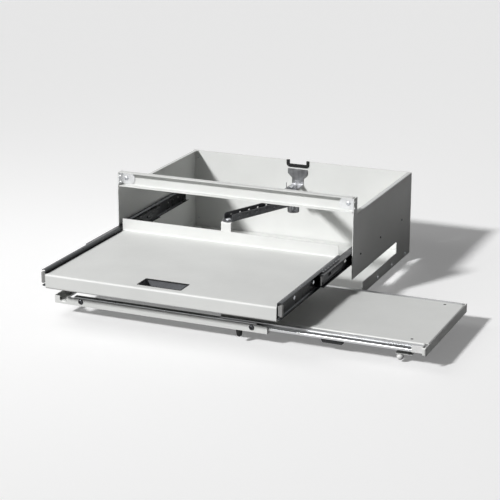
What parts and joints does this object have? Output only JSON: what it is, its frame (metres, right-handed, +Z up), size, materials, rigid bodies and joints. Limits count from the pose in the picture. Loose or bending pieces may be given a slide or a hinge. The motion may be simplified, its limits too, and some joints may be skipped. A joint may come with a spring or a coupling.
{
  "type": "rack keyboard drawer",
  "caption": "Sheet-steel rack drawer on telescopic slides with a keyboard tray, a side-sliding mouse tray below it and a folding cable arm in an open-topped housing.",
  "frame": {"origin": "middle of the housing's underside", "axes": "+X to the right seen from the front, +Y into the rack, +Z up"},
  "size_m": [0.7545, 0.7042, 0.213],
  "materials": {
    "painted_sheet": "satin powder coat",
    "zinc_steel": "zinc plated",
    "screw_steel": "zinc plated",
    "ball_steel": "polished",
    "black_rubber": "matt",
    "black_plastic": "fine texture",
    "white_plastic": "moulded"
  },
  "bodies": {
    "housing": {"left_side_wall": "painted_sheet", "right_side_wall": "painted_sheet", "back_wall": "painted_sheet", "floor_pan": "painted_sheet", "front_rail": "painted_sheet", "left_rail_bracket": "zinc_steel", "right_rail_bracket": "zinc_steel", "rail_screws": "screw_steel", "left_cabinet_rail": "zinc_steel", "right_cabinet_rail": "zinc_steel", "cabinet_rail_screws": "screw_steel", "notch_edging": "black_rubber", "arm_wall_bracket": "painted_sheet", "housing_rivets": "screw_steel"},
    "middle_rails": {"left_middle_rail": "zinc_steel", "right_middle_rail": "zinc_steel"},
    "front_cages": {"left_front_cage": "zinc_steel", "right_front_cage": "zinc_steel", "front_balls": "ball_steel"},
    "rear_cages": {"left_rear_cage": "zinc_steel", "right_rear_cage": "zinc_steel", "rear_balls": "ball_steel"},
    "drawer": {"keyboard_tray": "painted_sheet", "grip_cup": "black_plastic", "left_drawer_rail": "zinc_steel", "right_drawer_rail": "zinc_steel", "drawer_rail_screws": "screw_steel", "left_front_stop": "white_plastic", "right_front_stop": "white_plastic", "mouse_carrier": "painted_sheet", "left_hanger": "painted_sheet", "rear_hangers": "painted_sheet", "front_runner": "zinc_steel", "rear_runner": "zinc_steel", "runner_screws": "screw_steel", "carrier_buffer": "black_rubber", "arm_tray_bracket": "painted_sheet"},
    "mouse_tray": {"mouse_plate": "painted_sheet", "front_mouse_slide": "zinc_steel", "rear_mouse_slide": "zinc_steel", "front_slide_cap": "white_plastic", "rear_slide_cap": "white_plastic", "knob_strip": "zinc_steel", "pull_knob": "ball_steel", "stop_block": "black_plastic"},
    "front_arm": {"front_arm_link": "zinc_steel", "tray_pivot_pin": "screw_steel"},
    "rear_arm": {"rear_arm_link": "zinc_steel", "elbow_pin": "screw_steel", "wall_pivot_pin": "screw_steel"}
  },
  "joints": [
    {"name": "drawer_slide", "type": "slide", "parent": "housing", "child": "drawer", "axis": [0, -1, 0], "range_m": [-0.3, 0]},
    {"name": "middle_slide", "type": "slide", "parent": "housing", "child": "middle_rails", "axis": [0, -1, 0], "range_m": [-0.15, 0]},
    {"name": "front_cage_roll", "type": "slide", "parent": "housing", "child": "front_cages", "axis": [0, -1, 0], "range_m": [-0.225, 0]},
    {"name": "rear_cage_roll", "type": "slide", "parent": "housing", "child": "rear_cages", "axis": [0, -1, 0], "range_m": [-0.075, 0]},
    {"name": "mouse_slide", "type": "slide", "parent": "drawer", "child": "mouse_tray", "axis": [1, 0, 0], "range_m": [-0.292, 0]},
    {"name": "front_arm_turn", "type": "hinge", "parent": "drawer", "child": "front_arm", "pos_m": [-0.0045, -0.192, 0.141], "axis": [0, 0, 1], "range_deg": [-66.2, 0]},
    {"name": "rear_arm_turn", "type": "hinge", "parent": "front_arm", "child": "rear_arm", "pos_m": [0.0675, -0.024, 0.141], "axis": [0, 0, 1], "range_deg": [0, 132.3]}
  ],
  "couplings": [
    {"joint": "middle_slide", "follows": "drawer_slide", "ratio": 0.5},
    {"joint": "front_cage_roll", "follows": "drawer_slide", "ratio": 0.75},
    {"joint": "rear_cage_roll", "follows": "drawer_slide", "ratio": 0.25},
    {"joint": "front_arm_turn", "follows": "drawer_slide", "rad_per_m": 3.8484},
    {"joint": "rear_arm_turn", "follows": "drawer_slide", "rad_per_m": -7.6969}
  ]
}
